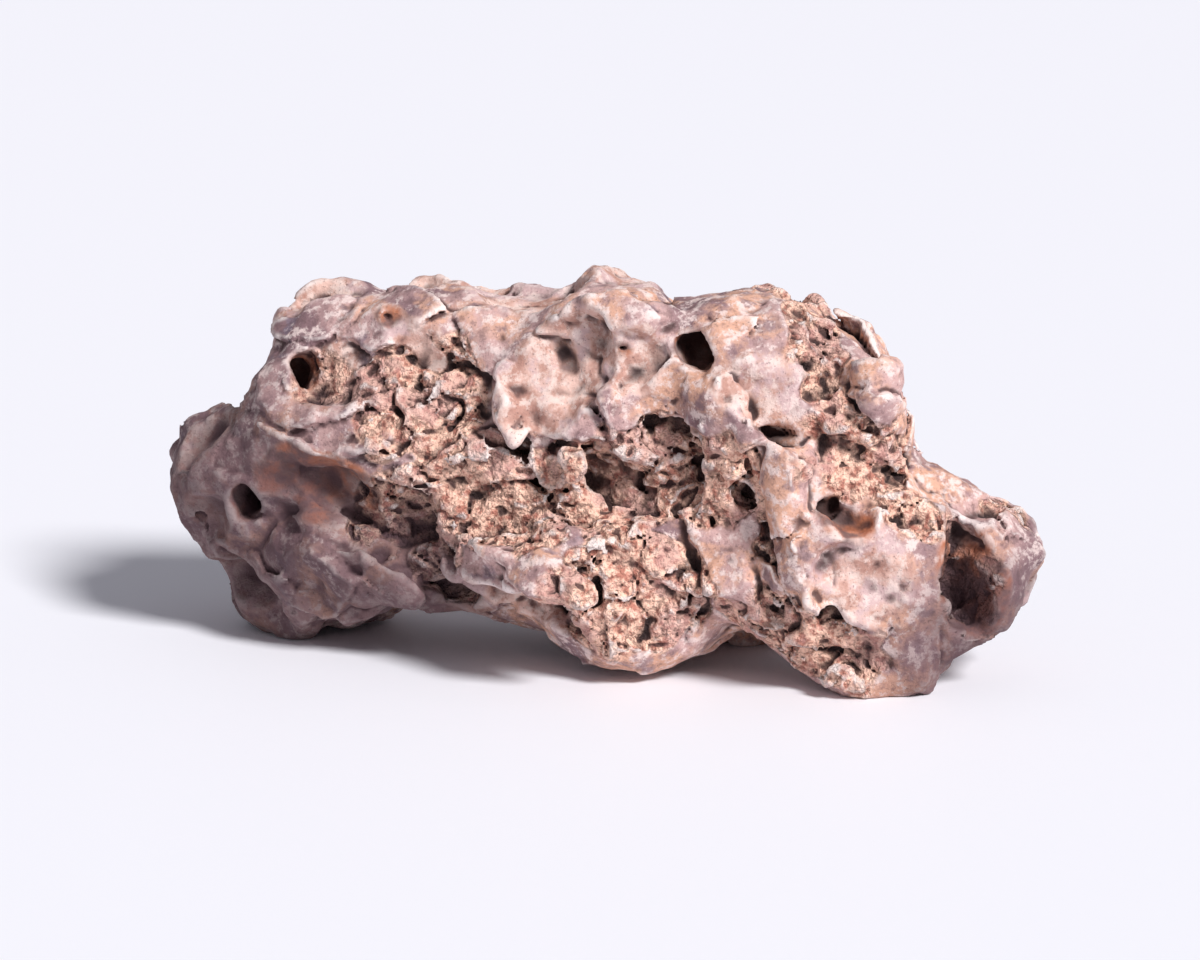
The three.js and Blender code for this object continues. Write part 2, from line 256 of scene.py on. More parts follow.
# %% Grid
STEP = 0.55  # mm
GRID_LOW = (-89, -48, -3)
GRID_HIGH = (89, 50, 80)
ticks = [np.arange(low, high, STEP, dtype=np.float32) for low, high in zip(GRID_LOW, GRID_HIGH)]
X, Y, Z = np.meshgrid(*ticks, indexing="ij")
field = smooth_stone(X, Y, Z).astype(np.float32)
print("grid", field.shape, "inside", round(float((field < 0).sum() * STEP**3 / 1000)), "cubic centimetres")

# %% [markdown]
# ## What the water took
#
# Trays are wide, shallow and sharp-edged, and crumbs fill them. The last four are cracks. Scoops are
# smooth bowls with a crisp lip, and holes are small, deep and dark. Ledges and plates are what stayed
# between them, and the last two sit deep, to fill the caves that would open behind a plate and a corner.
# Those of the pitted side are listed one by one, because their places make this stone the one it is.

# %% Hollows and ledges of the pitted side
# Each has: across and up, half width and height, depth, turn
TRAYS = [
    ("brow", (-33.6, 50), (10.5, 11), 1.5, -20),
    ("under the brow", (-38, 28), (8.5, 6), 1.6, 15),
    ("bulge", (-29, 19), (6, 7), 1.2, 0),
    ("middle left", (-18, 34), (23, 9), 1.3, 6),
    ("middle right", (12, 40), (21, 8.5), 0.7, 4),
    ("belly", (4, 18), (14, 11), 0.9, 0),
    ("hip", (36, 11.5), (15, 7), 0.9, -12),
    ("groove", (39, 60), (4.5, 13), 1.4, 18),
    ("under the corner", (44, 43.5), (10, 7), 1.6, -10),
    ("nose", (54, 35), (6, 4), 1.0, -30),
    ("long crack", (-33.5, 37), (13, 0.9), 1.5, 40),
    ("short crack", (-18.5, 42.5), (6.5, 0.8), 1.4, -25),
    ("crack over the belly", (-2, 31), (11, 0.8), 1.4, 12),
    ("crack beside the patch", (29, 28), (1.0, 7), 1.5, 20),
]
# And these too: how they lean across and up, and how far out of the stone their middle is lifted
SCOOPS = [
    ("cheek", (-50.5, 52.4), (5.8, 6.6), 5.5, 0, (-0.5, 0), 0.2),
    ("trough", (-34.5, 59.5), (8, 3), 2.2, -38, (0, 0.2), 0.3),
    ("big scoop", (-9, 60), (12, 9), 3.6, 10, (0, 0.3), 0.45),
    ("its tip", (-12, 51), (7.5, 8), 3.2, -8, (0, 0.2), 0.45),
    ("dimple", (5.7, 60), (5.5, 5), 1.3, 0, (0, 0.2), 0.5),
    ("slab slope", (27, 58.5), (9, 6), 0.7, -35, (0, 0), 0.6),
    ("lower cheek", (-54, 33), (12.5, 6.5), 4.2, -8, (0, 0.1), 0.4),
    ("belly", (-16, 15), (11, 5.5), 4.5, 0, (0, 0.1), 0.3),
    ("hip", (46, 24.5), (10, 8), 3.4, -30, (0, 0.1), 0.45),
    ("nose", (65.5, 21.5), (5.5, 11), 9, 12, (-0.3, 0), 0.2),
    ("recess", (42.5, 34.5), (5.5, 3.2), 4, -35, (0, 0.2), 0.3),
    ("left low", (-67, 11), (8, 5), 5, 0, (0, 0), 0.3),
]
HOLES = [
    ("cheek", (-53.5, 53.2), (2.6, 3.4), 17, 0, (-0.5, 0), 0.05),
    ("brow", (-39.2, 62.3), (2.4, 1.7), 12, -15, (-0.3, 0.1), 0.05),
    ("crown", (15.4, 61.3), (4.7, 2.7), 15, -12, (0.1, 0.2), 0.05),
    ("ear", (-65.5, 28), (2.5, 3.6), 13, 0, (0.2, 0), 0.05),
    ("recess", (40, 36), (1.6, 2.4), 8, -20, (0, 0.1), 0.05),
    ("dimple", (3.8, 61), (1.5, 1.1), 4, 0, (0, 0.2), 0.1),
    ("middle", (15, 46.4), (1.5, 1.2), 5, 0, (0, 0.1), 0.1),
]
# Each has: across and up, half width and height, half thickness, turn, how far its middle stands out
LEDGES = [
    ("scoop, left arm", (-16, 50), (9, 5), 2.4, -52, 0.2),
    ("scoop, right arm", (-7, 49.5), (10, 5), 2.4, 33, 0.2),
    ("slab", (28, 56), (9.5, 5.5), 2.4, -38, 0.2),
    ("grey plate", (32, 38), (4.6, 8.5), 2.8, 12, 0.2),
    ("belly, left", (-28.7, 21), (4.8, 1.1), 1.8, -27, 0.2),
    ("belly, middle", (-18, 19.8), (6.5, 1.1), 1.8, 10, 0.2),
    ("belly, right", (-6, 20), (6, 1.1), 1.8, -11, 0.2),
    ("hip", (43.3, 17), (8, 1.2), 2.0, -26, 0.2),
    ("lower cheek", (-56.5, 25.6), (7.5, 1.1), 1.8, -14, 0.2),
    ("head, left", (-59, 42), (9, 1.1), 1.8, -24, 0.2),
    ("head, right", (-44.5, 40.4), (6.5, 1.1), 1.8, 18, 0.2),
    ("behind the grey plate", (33, 46.5), (5, 3.5), 4.5, 0, -4.2),
    ("behind the corner", (50, 58.5), (5.5, 5), 5.5, 0, -5.0),
]
print(len(TRAYS), "trays and cracks,", len(SCOOPS), "scoops,", len(HOLES), "holes,", len(LEDGES), "ledges")

# %% [markdown]
# ## Hollows of the other sides
#
# The top, the back, the underside and the ends have smaller hollows of the same kind. A random draw
# would crowd some and leave bare patches. So each place is found by adding a step again and again and
# keeping only the fraction: such steps never fall into rows, and need no seed. 0.7549 and 0.5698 are the
# pair that fills a flat field most evenly.

# %% Scattered hollows
TRIED_ROUND, TRIED_AT_ENDS = 34, 3  # hollows tried on the top, back and underside, and on each end
INTO_THE_GROOVE = (15, 31)  # numbers of those that would leave only flakes beside the groove


def fraction(x):
    return x - math.floor(x)


def scattered_hollows():
    """side, place, half width and height, depth and turn of each hollow away from the pitted side"""
    for n in range(TRIED_ROUND):
        x = -68 + 136 * fraction(0.5 + n * 0.7549)
        place = fraction(0.5 + n * 0.5698)
        size = 4.5 + 6 * fraction(n * 0.618) ** 2
        wide = size * (1 + 0.9 * fraction(n * 0.27))
        depth, turn = 2.5 + 5 * fraction(n * 0.382), 360 * fraction(n * 0.41)
        if place < 0.3:
            yield "top", (x, 2 - 0.3 * x + 70 * place), (0.8 * wide, 0.8 * size), depth, turn
        elif place < 0.85:
            yield "back", (x, 8 + 56 * (place - 0.3) / 0.55), (wide, size), depth, turn
        else:
            yield "under", (x, -20 + 40 * (place - 0.85) / 0.15), (0.7 * wide, 0.7 * size), depth, turn
    for n in range(TRIED_AT_ENDS):
        size = 4.5 + 3 * fraction(n * 0.3)
        for side, low, run, up in (("left", 8, 26, 24), ("right", -18, 22, 14)):
            at = (low + run * fraction(n * 0.618), up + 30 * fraction(n * 0.7549))
            yield side, at, (1.3 * size, size), 3.5, 50 * n


print(sum(1 for _ in scattered_hollows()), "hollows scattered over the other sides")

# %% [markdown]
# ## Soft noise
#
# Ragged tray edges and a worn skin need values that wander from place to place. Blender's own noise is
# worked out one point at a time, which is slow for so many. So here random numbers sit on a coarse
# lattice and are joined smoothly between its points. Each seed is fixed, so the stone is the same each
# time.

# %% Cloud
def cloud(x, y, z, size, seed):
    """Soft noise with a spread of about 1: random values on a lattice, smoothly joined."""
    q = np.stack([x / size, y / size, z / size]).astype(np.float32).reshape(3, -1)
    base = np.floor(q).astype(int)
    share = q - base
    share = share * share * (3 - 2 * share)
    low = base.min(axis=1)
    counts = tuple(base.max(axis=1) - low + 2)
    values = np.random.default_rng(seed).standard_normal(counts).astype(np.float32).ravel()
    total = np.zeros(x.size, np.float32)
    for corner in np.ndindex(2, 2, 2):
        at = np.ravel_multi_index(tuple(base - low[:, None] + np.array(corner)[:, None]), counts)
        weight = [share[m] if c else 1 - share[m] for m, c in enumerate(corner)]
        total += values[at] * weight[0] * weight[1] * weight[2]
    return 1.6 * total.reshape(x.shape)


sample = cloud(np.arange(500) * 1.7, np.zeros(500), np.zeros(500), 5, 20)
print("soft noise runs from", round(float(sample.min()), 1), "to", round(float(sample.max()), 1))

# %% [markdown]
# ## One hollow
#
# A hollow is an ellipsoid in space bent by quick ripples, cut from the field where the two meet. Only
# the part of the grid round it is touched, which keeps so many hollows quick. Crumbs fall to the floor
# of a tray, so each hollow also gives a mask of what lies behind its mouth, with an edge as ragged as
# broken clay.

# %% Cutting a hollow
RIPPLES = [
    (0.55, 0.21, 0.33, 0.9),
    (-0.31, 0.47, 0.52, 2.6),
    (0.62, -0.49, 0.18, 4.4),
    (0.84, 0.58, -0.75, 1.3),
    (-0.71, 1.02, 0.66, 3.7),
]
ROOM = 6  # mm round a hollow that its ripples can reach
FACING = 0.5  # how far a hollow turns to face its patch
RAGGED = 0.7  # mm that the edge of the mask wanders
MASK_FADE = 1.2  # mm over which the mask fades out
MASK_DEPTH = 7  # mm under a hollow's floor that the mask still reaches


def window(centre, reach):
    """The part of the grid round a point."""
    return tuple(
        slice(int(np.searchsorted(t, c - reach)), int(np.searchsorted(t, c + reach)))
        for t, c in zip(ticks, centre)
    )


def hollow(side, at, half, depth, turn, lean, lift, bend):
    """The part of the grid that a hollow can touch, the distance to it there, and 1 behind its mouth."""
    deep = depth / (1 - lift)
    wider = 1 / math.sqrt(1 - lift * lift)
    place = settled(side, at, turn, lean, lift * deep, FACING)
    half = (half[0] * wider, half[1] * wider, deep)
    part = window(place[1], max(half) + ROOM)
    inside = own_frame(place, *bent(RIPPLES, bend, X[part], Y[part], Z[part]))
    ragged = cloud(X[part], Y[part], Z[part], 5, 20) + 0.6 * cloud(X[part], Y[part], Z[part], 2.5, 21)
    narrow = min(half[:2])
    across = np.sqrt((inside[0] / half[0]) ** 2 + (inside[1] / half[1]) ** 2) + RAGGED * ragged / narrow
    behind = np.clip((1 - across) * narrow / MASK_FADE, 0, 1) * (np.abs(inside[2]) < deep + MASK_DEPTH)
    return part, ellipsoid_distance(inside, half), behind


def cut(part, distance, rim):
    """Take a shape out of the field. rim is how far its lip is rounded, in mm."""
    field[part] = -melt(-field[part], distance, rim)


def close_to(distance, full, none):
    """1 up to full mm from a shape, 0 beyond none mm from it, and a fade between them."""
    return np.clip((none - distance) / (none - full), 0, 1)


def mark(mask, part, values):
    mask[part] = np.maximum(mask[part], values)


part, distance, behind = hollow("front", *SCOOPS[2][1:], 0.4)
print("the big scoop touches", part[0].stop - part[0].start, "grid points along the stone")

# %% [markdown]
# ## Masks
#
# The roughness and the material need to know what each place is. So five masks are kept beside the field
# while it is cut: crumbs, smooth floors, places too smooth for chips and pits, old mud, and firm bosses
# and ledges. Bosses are firm from the start.

# %% Masks
crumbs = np.zeros_like(field)  # 1 where crumbs fill a tray
floors = np.zeros_like(field)  # 1 on the smooth floor of a scoop or hole
calm = np.zeros_like(field)  # 1 where a smooth hollow keeps chips and pits away
stains = np.zeros_like(field)  # 1 where old mud stays in a deep hollow
warped = bent(SWELLS, SWELL_SIZE, X, Y, Z)
bosses = [ellipsoid_distance(own_frame(place, *warped), half) for place, half, _ in shapes[len(LUMPS) :]]
bosses = np.minimum.reduce(bosses)  # mm to the nearest boss
FIRM_BOSS = (1, 2.5)  # mm from a boss: all firm, no longer firm
firm = close_to(bosses, *FIRM_BOSS)  # 1 on bosses and ledges, which hold no pits
print("bosses and what is near them take", round(100 * float(firm.mean()), 1), "percent of the grid")

# %% [markdown]
# ## Cutting the pitted side
#
# The order is the order of making: trays first, then the ledges that stand over them, then scoops and
# holes through both. A tray leaves the bosses whole. The crumbs of a tray stop at ledges and at smooth
# scoops.

# %% The pitted side
# LIFT is the share of its half depth that a hollow's middle is lifted out, BEND how many mm ripples move it,
# RIM how many mm its lip is rounded
TRAY_LIFT, TRAY_BEND, TRAY_RIM = 0.5, 0.6, 0.2
LEDGE_FACING, LEDGE_BEND, LEDGE_JOIN, LEDGE_ROOM = 0.8, 0.45, 0.8, 5
SCOOP_BEND, SCOOP_RIM = 0.4, 0.7
HOLE_BEND, HOLE_RIM = 0.3, 0.6
# How near to a shape its marks lie, in mm: in full up to the first number, not at all beyond the second
OFF_BOSS, OFF_LEDGE, FIRM_LEDGE = (-0.45, 1.05), (0, 1.2), (1.5, 3)
SCOOP_FLOOR, HOLE_FLOOR = (0.2, 1.8), (0.2, 1.2)
SCOOP_STAIN, HOLE_STAIN = (0, 1.5), (-0.5, 1)
CRUMBLY_FLOOR, CRUMBLY_SHARE = (2.5, 4), 0.5
STAINED = ("nose", "lower cheek", "recess")  # scoops where old mud stays
CRUMBLY = ("nose", "cheek")  # scoops whose floors crumble too

for _, at, half, depth, turn in TRAYS:
    part, distance, behind = hollow("front", at, half, depth, turn, (0, 0), TRAY_LIFT, TRAY_BEND)
    cut(part, np.maximum(distance, -bosses[part]), TRAY_RIM)
    mark(crumbs, part, behind * (1 - close_to(bosses[part], *OFF_BOSS)))
for _, at, half, thick, turn, lift in LEDGES:
    place = settled("front", at, turn, (0, 0), lift, LEDGE_FACING)
    part = window(place[1], max(half) + LEDGE_ROOM)
    inside = own_frame(place, *bent(RIPPLES, LEDGE_BEND, X[part], Y[part], Z[part]))
    distance = ellipsoid_distance(inside, (*half, thick))
    field[part] = melt(field[part], distance, LEDGE_JOIN)
    crumbs[part] *= 1 - close_to(distance, *OFF_LEDGE)
    mark(firm, part, close_to(distance, *FIRM_LEDGE))
for name, at, half, depth, turn, lean, lift in SCOOPS:
    part, distance, behind = hollow("front", at, half, depth, turn, lean, lift, SCOOP_BEND)
    cut(part, distance, SCOOP_RIM)
    crumbs[part] *= 1 - behind
    mark(floors, part, close_to(distance, *SCOOP_FLOOR))
    if name in CRUMBLY:
        mark(crumbs, part, CRUMBLY_SHARE * behind * close_to(distance, *CRUMBLY_FLOOR))
    else:
        mark(calm, part, behind)
    if name in STAINED:
        mark(stains, part, close_to(distance, *SCOOP_STAIN))
for _, at, half, depth, turn, lean, lift in HOLES:
    part, distance, behind = hollow("front", at, half, depth, turn, lean, lift, HOLE_BEND)
    cut(part, distance, HOLE_RIM)
    crumbs[part] *= 1 - behind
    mark(floors, part, close_to(distance, *HOLE_FLOOR))
    mark(stains, part, close_to(distance, *HOLE_STAIN))
print("crumbs fill", round(float((crumbs[np.abs(field) < STEP] > 0.5).mean()), 2), "of the surface so far")

# %% [markdown]
# ## Cutting the other sides
#
# One hollow in three holds crumbs, and the others are smooth. A line from the side that misses the stone
# ends far from its surface, and that hollow is passed over.

# %% The other sides
MISSED = 1.0  # mm from the surface, beyond which the line missed the stone
WORN_LIFT, WORN_BEND, WORN_RIM = 0.3, 0.5, 0.7
cuts = 0
for n, (side, at, half, depth, turn) in enumerate(scattered_hollows()):
    if n in INTO_THE_GROOVE or smooth_stone(*mouth(side, at)) > MISSED:
        continue
    cuts += 1
    part, distance, behind = hollow(side, at, half, depth, turn, (0, 0), WORN_LIFT, WORN_BEND)
    cut(part, distance, WORN_RIM)
    if n % 3 == 0:
        mark(crumbs, part, behind)
    else:
        mark(calm, part, behind)
        mark(floors, part, close_to(distance, *SCOOP_FLOOR))
print(cuts, "hollows cut, and crumbs fill", round(float((crumbs[np.abs(field) < STEP] > 0.5).mean()), 2))

# %% [markdown]
# ## Broken faces
#
# Dry clay breaks along flat faces. Space is split into cells round scattered points, and each cell leans
# its own way, so the surface gets a face wherever it passes through a cell. The points are scattered by
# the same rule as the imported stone's, so both have their broad faces in the same places.

# %% Cells
def chance(i, j, k, m):
    """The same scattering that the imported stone's faces use."""
    s = np.sin(i * 12.9898 + j * 78.233 + k * 37.719 + m * 53.117) * 4375.85453
    return s - np.floor(s)


def cells(x, y, z, size, seed):
    """For each point: nearest and second nearest cell centre, the cell's own number, and its slant."""
    q = np.stack([x / size, y / size, z / size]).astype(np.float32)
    base = np.floor(q).astype(int)
    low = base.min(axis=1) - 1
    counts = base.max(axis=1) - low + 2
    lattice = np.meshgrid(*[np.arange(c) + l for c, l in zip(counts, low)], indexing="ij")
    table = np.stack([chance(*lattice, m + seed) for m in range(8)]).astype(np.float32)
    table = table.reshape(8, -1)
    first = np.full(x.shape, 9, np.float32)
    second = first.copy()
    tag, slant = np.zeros_like(first), np.zeros_like(first)
    for i, j, k in np.ndindex(3, 3, 3):
        cell = base + np.array([[i - 1], [j - 1], [k - 1]])
        at = np.ravel_multi_index(tuple(cell - low[:, None]), tuple(counts))
        away = [cell[m] + table[m][at] - q[m] for m in range(3)]
        gap = away[0] ** 2 + away[1] ** 2 + away[2] ** 2
        closer = gap < first
        second = np.where(closer, first, np.minimum(second, gap))
        first = np.where(closer, gap, first)
        lean = sum((2 * table[m + 4][at] - 1) * away[m] for m in range(3))
        slant = np.where(closer, lean, slant)
        tag = np.where(closer, table[7][at], tag)
    return np.sqrt(first), np.sqrt(second), tag, slant


crossed = cells(np.arange(200.0), np.zeros(200), np.zeros(200), 15, 0)[2]
print("a line 200 mm long crosses", len(np.unique(crossed)), "cells of 15 mm")

# %% [markdown]
# ## The worn skin
#
# Roughness is how far each point stands out, and only the points near the surface need it. Large cells
# give the broad faces and small ones the chips. Soft noise in three sizes wears them, so that nothing
# looks cut. A few cells hold a round pit. Smooth hollows keep most of this away, and bosses and ledges
# hold no pits.

# %% Roughness of the skin
NEAR = 3.2  # mm from the surface that roughness can reach
BREAKS = [(15, 2.6, 0), (6, 0.5, 10)]  # size of the broken faces in mm, how steeply they lean, seed
CALMED = 0.7  # how much of the lean a smooth hollow takes away
WEAR = [(6.5, 0.35, 31), (3.0, 0.16, 32), (1.5, 0.07, 33)]  # size and depth of soft dents in mm, seed
PIT_CELL, PIT_SHARE = 8.5, 0.14  # mm between places for a pit, and how many of them have one
PIT_SMALL, PIT_SPREAD, PIT_DEEP = 0.12, 0.6, 13  # least radius in cells, how much it varies, how steep it is
PIT_SEED = 42

near = np.abs(field) < NEAR
x, y, z = X[near].astype(float), Y[near].astype(float), Z[near].astype(float)
crumb, smooth = crumbs[near], calm[near]
rippled = bent(RIPPLES, 0.5, x, y, z)
stand = -sum(steep * cells(*rippled, size, seed)[3] for size, steep, seed in BREAKS) * (1 - CALMED * smooth)
stand -= sum(depth * cloud(x, y, z, size, seed) for size, depth, seed in WEAR)
first, _, tag, _ = cells(x, y, z, PIT_CELL, PIT_SEED)
pits = np.clip(PIT_SMALL + PIT_SPREAD * tag - first, 0, 1) * PIT_DEEP * (tag < PIT_SHARE)
stand -= pits * (1 - smooth) * (1 - crumb) * (1 - firm[near])
print(len(x), "points near the surface, standing out by", round(float(stand.std()), 2), "mm on average")

# %% [markdown]
# ## Crumbs
#
# The crumbly bands are clay that came apart in layers. Large slanted cells give the layers, with a crack
# round about half of them. On these lie grains of two sizes: each stands higher or lower than its
# neighbours, has a gap round it and a slanted top, and some have fallen out. Soft noise shakes the grid
# of the grains, because grains with straight edges would look like cut glass.

# %% Crumbs
MOST = 2.6  # mm that any spot stands out or is sunk, so that no cave opens under it
SHAKEN = 0.4  # mm that the edges of grains wander
FLATTENED = 1.25  # how much lower than wide the grains are
LAYER, LAYER_SLANT, LAYER_SEED = 9, 2.4, 60  # mm across, and how steeply they lean
CRACK, CRACK_STEEP, CRACKED = 1.2, 9, 0.5  # mm deep, how steep its sides are, share of layers that have one
HEAPED = 0.4  # mm that crumbs lie over the floor of their tray
GAP, FALLEN = 0.3, 0.2  # width of the gap round a grain in grain sizes, share of grains that have fallen out
GRAINS = [(4.0, 0.3, 61), (2.2, 0.55, 62)]  # mm across, how strongly they show, seed


def grains(x, y, z, size, seed):
    """How far crumbs of one size stand out."""
    first, second, tag, slant = cells(x, y, z, size, seed)
    gap = np.clip(1 - (second - first) / GAP, 0, 1)
    missing = np.clip(1.1 - first, 0, 1) * (tag < FALLEN)
    return size * (0.34 * (tag - 0.5) + 0.5 * slant - 0.24 * gap - 0.5 * missing)


loose = crumb > 0.02
gx, gy, gz = (p[loose] for p in (x, y, z))
gx = gx + SHAKEN * cloud(gx, gy, gz, 2.2, 51)
gy = gy + SHAKEN * cloud(gx, gy, gz, 2.2, 52)
gz = gz * FLATTENED + SHAKEN * cloud(gx, gy, gz, 2.2, 53)
first, second, tag, slant = cells(gx, gy, gz, LAYER, LAYER_SEED)
rubble = -LAYER_SLANT * slant - np.clip(CRACK - CRACK_STEEP * (second - first), 0, CRACK) * (tag < CRACKED)
rubble = rubble + sum(shown * grains(gx, gy, gz, size, seed) for size, shown, seed in GRAINS)
stand[loose] += crumb[loose] * (rubble + HEAPED)
field[near] -= np.clip(stand, -MOST, MOST)
field = np.maximum(field, -Z)  # the worn flats that the stone lies on
print("crumbs stand", round(float(rubble.min()), 1), "to", round(float(rubble.max()), 1), "mm")

# %% [markdown]
# ## Thin walls broken off
#
# Where two hollows nearly meet they leave a wall as thin as paper. On a real stone it has long since
# broken off, so whatever is thinner than about a millimetre goes. The share of stone in a small ball
# finds it.

# %% Thin walls
THIN_BALL = 1.0  # mm, radius
THINNEST = 0.3  # share of stone in the ball, below which a wall is too thin


def blurred(values, radius):
    """Three running means along each axis, which together come close to a soft ball."""
    reach = max(1, round(radius / STEP))
    margin = 3 * reach + 2
    values = np.pad(values, margin)
    for _ in range(3):
        for axis in range(3):
            total = np.cumsum(values, axis=axis, dtype=np.float64)
            ahead = np.roll(total, -reach, axis=axis)
            behind = np.roll(total, reach + 1, axis=axis)
            values = ((ahead - behind) / (2 * reach + 1)).astype(np.float32)
    inner = slice(margin, -margin)
    return values[inner, inner, inner]


was = int((field < 0).sum())
share = blurred((field < 0).astype(np.float32), THIN_BALL)
field = np.maximum(field, 3 * (THINNEST - share))
print("thin walls took", round((was - int((field < 0).sum())) * STEP**3 / 1000, 2), "cubic centimetres")

# %% [markdown]
# ## From field to mesh
#
# A surface net puts one vertex in each grid cell that the surface passes through, at the middle of the
# places where the cell's edges cross it. Marching cubes is the better known way, but it cuts corners off
# and makes slivers. The net keeps sharp lips sharp, gives even squares, and leaves no seam.

# %% Surface net
def surface_net(values, origin, step):
    inside = values < 0
    keys, points, quads = [], [], []
    for axis in range(3):
        b, c = (axis + 1) % 3, (axis + 2) % 3
        low, high = [slice(None)] * 3, [slice(None)] * 3
        low[axis], high[axis] = slice(0, -1), slice(1, None)
        here = np.argwhere(inside[tuple(low)] != inside[tuple(high)])
        there = here.copy()
        there[:, axis] += 1
        d0, d1 = values[tuple(here.T)].astype(float), values[tuple(there.T)].astype(float)
        where = here.astype(float)
        where[:, axis] += d0 / (d0 - d1)
        corners = []
        for over_b, over_c in ((-1, -1), (0, -1), (0, 0), (-1, 0)):
            cell = here.copy()
            cell[:, b] += over_b
            cell[:, c] += over_c
            corners.append(np.ravel_multi_index(tuple(cell.T), values.shape))
        quad = np.stack(corners, 1)
        quad[d0 > 0] = quad[d0 > 0][:, ::-1]
        quads.append(quad)
        keys.append(quad.ravel())
        points.append(np.repeat(where, 4, axis=0))
    cells_used, index = np.unique(np.concatenate(keys), return_inverse=True)
    points = np.concatenate(points)
    count = np.bincount(index)
    verts = np.stack([np.bincount(index, points[:, m]) / count for m in range(3)], 1)
    return verts * step + np.asarray(origin), index.reshape(-1, 4)


verts, quads = surface_net(field, GRID_LOW, STEP)
print(len(verts), "vertices and", len(quads), "squares")

# %% [markdown]
# ## One piece
#
# The stone is one piece, so crumbs that hang free in the air and bubbles inside it are dropped. Each
# vertex starts with a number of its own, neighbours take over the lower number until nothing changes,
# and then each piece has one number.

# %% The biggest piece
def biggest_piece(verts, quads):
    label = np.arange(len(verts))
    while True:
        lowest = label[quads].min(axis=1)
        spread = label.copy()
        np.minimum.at(spread, quads.ravel(), np.repeat(lowest, 4))
        spread = spread[spread]
        if np.array_equal(spread, label):
            break
        label = spread
    keep = label == np.bincount(label).argmax()
    fresh = np.cumsum(keep) - 1
    return verts[keep], fresh[quads[keep[quads[:, 0]]]]


before = len(verts)
verts, quads = biggest_piece(verts, quads)
print(len(verts), "vertices kept,", before - len(verts), "dropped")

# %% [markdown]
# ## What each point of the surface is
#
# Sheltered places are darkened as painted shade, and edges are painted pale, partly as wear and partly
# as a painted highlight. The share of stone in a small ball round a point says how sheltered it is: a
# half on a flat face, less on an edge, more in a crevice. It is measured with a small ball for the grains
# and with larger ones for the hollows. The material could measure it while rendering, but numbers kept
# on the mesh are the same from every side, and quick. The masks go onto the mesh beside them.

# %% Shelter and masks
MUD_AND_SHADE_SPOTS = [((-72, 8, 18), 39), ((-38, -2, 12), 22), ((68, -26, 8), 22)]  # where brown mud and painted shade lie, and how far round


def at_vertices(values):
    """A grid read at each vertex, mixed from the eight points round it."""
    q = (verts - np.asarray(GRID_LOW)) / STEP
    base = np.clip(np.floor(q).astype(int), 0, np.array(values.shape) - 2)
    share = q - base
    total = np.zeros(len(verts))
    for corner in np.ndindex(2, 2, 2):
        weight = np.prod(np.where(corner, share, 1 - share), axis=1)
        total += weight * values[tuple((base + corner).T)]
    return total


solid = (field < 0).astype(np.float32)
mud_and_shade = [np.linalg.norm(verts - np.array(middle), axis=1) / reach for middle, reach in MUD_AND_SHADE_SPOTS]
layers = {
    "fine_shelter": at_vertices(blurred(solid, 0.8)),
    "shelter": at_vertices(blurred(solid, 2.4)),
    "wide_shelter": at_vertices(blurred(solid, 6.0)),
    "crumb": at_vertices(crumbs),
    "floor": at_vertices(floors),
    "stain": at_vertices(stains),
    "mud_and_shade": np.clip(1.2 - np.min(mud_and_shade, axis=0), 0, 1),
}
for name, values in layers.items():
    print(name, "from", round(float(values.min()), 2), "to", round(float(values.max()), 2))

# %% [markdown]
# ## The mesh
#
# The net's squares are all one size, also where the stone is nearly flat. Blender's decimate takes away
# the vertices that say least, and leaves the grains and lips as they are. The masks ride along.

# %% Mesh
TRIANGLES_MOST = 195_000
centre = (verts.min(axis=0) + verts.max(axis=0)) / 2
moved = (verts - (centre[0], centre[1], 0)) / 1000  # metres, with the middle of the stone over the origin
mesh = bpy.data.meshes.new("stone_surface")
mesh.from_pydata(moved.tolist(), [], quads.tolist())
for name, values in layers.items():
    mesh.attributes.new(name, "FLOAT", "POINT").data.foreach_set("value", values.astype(np.float32))
stone = bpy.data.objects.new("weathered_stone", mesh)
bpy.context.scene.collection.objects.link(stone)
triangles = 2 * len(quads)
if triangles > TRIANGLES_MOST:
    thinner = stone.modifiers.new("thin", "DECIMATE")
    thinner.ratio = TRIANGLES_MOST / triangles
    bpy.context.view_layer.objects.active = stone
    bpy.ops.object.modifier_apply(modifier=thinner.name)
stone.data.shade_smooth()
print(triangles, "triangles drawn,", sum(len(p.vertices) - 2 for p in stone.data.polygons), "kept")

# %% [markdown]
# ## Weathered clay
#
# The stone is clay: fine mud laid down by water, dried hard, then worn by wind and rain. It is one
# material in several states, so one shader covers all of it. The worn skin is grey-pink with blue-grey
# blotches, pale dust in streaks, and tan where it is worn through. Fresh floors of scoops are tan,
# crumbs are orange to cream, crevices are painted brown to nearly black as shade, and lips are painted
# pale, partly as wear and partly as a painted highlight.
#
# A photograph wrapped round the stone would be quicker, but it would stretch over lips and into holes.
# Tints laid over one another by what each place is work from every side.

# %% Colours and nodes
def linear(hex_colour):
    """A colour as the screen shows it, turned into the light it stands for."""
    parts = [int(hex_colour[i : i + 2], 16) / 255 for i in (1, 3, 5)]
    return [p / 12.92 if p <= 0.04045 else ((p + 0.055) / 1.055) ** 2.4 for p in parts] + [1]


def add(tree, kind, inputs=None, **settings):
    """A node with its settings, and its inputs set to a value or linked to another node's output."""
    made = tree.nodes.new(kind)
    for name, value in settings.items():
        setattr(made, name, value)
    for name, value in (inputs or {}).items():
        if isinstance(value, bpy.types.NodeSocket):
            tree.links.new(value, made.inputs[name])
        else:
            made.inputs[name].default_value = value
    return made


clay = bpy.data.materials.new("weathered_clay")
clay.use_nodes = True
tree = clay.node_tree
tree.nodes.clear()
print("tan clay #DCA88D as light:", [round(v, 2) for v in linear("#DCA88D")])

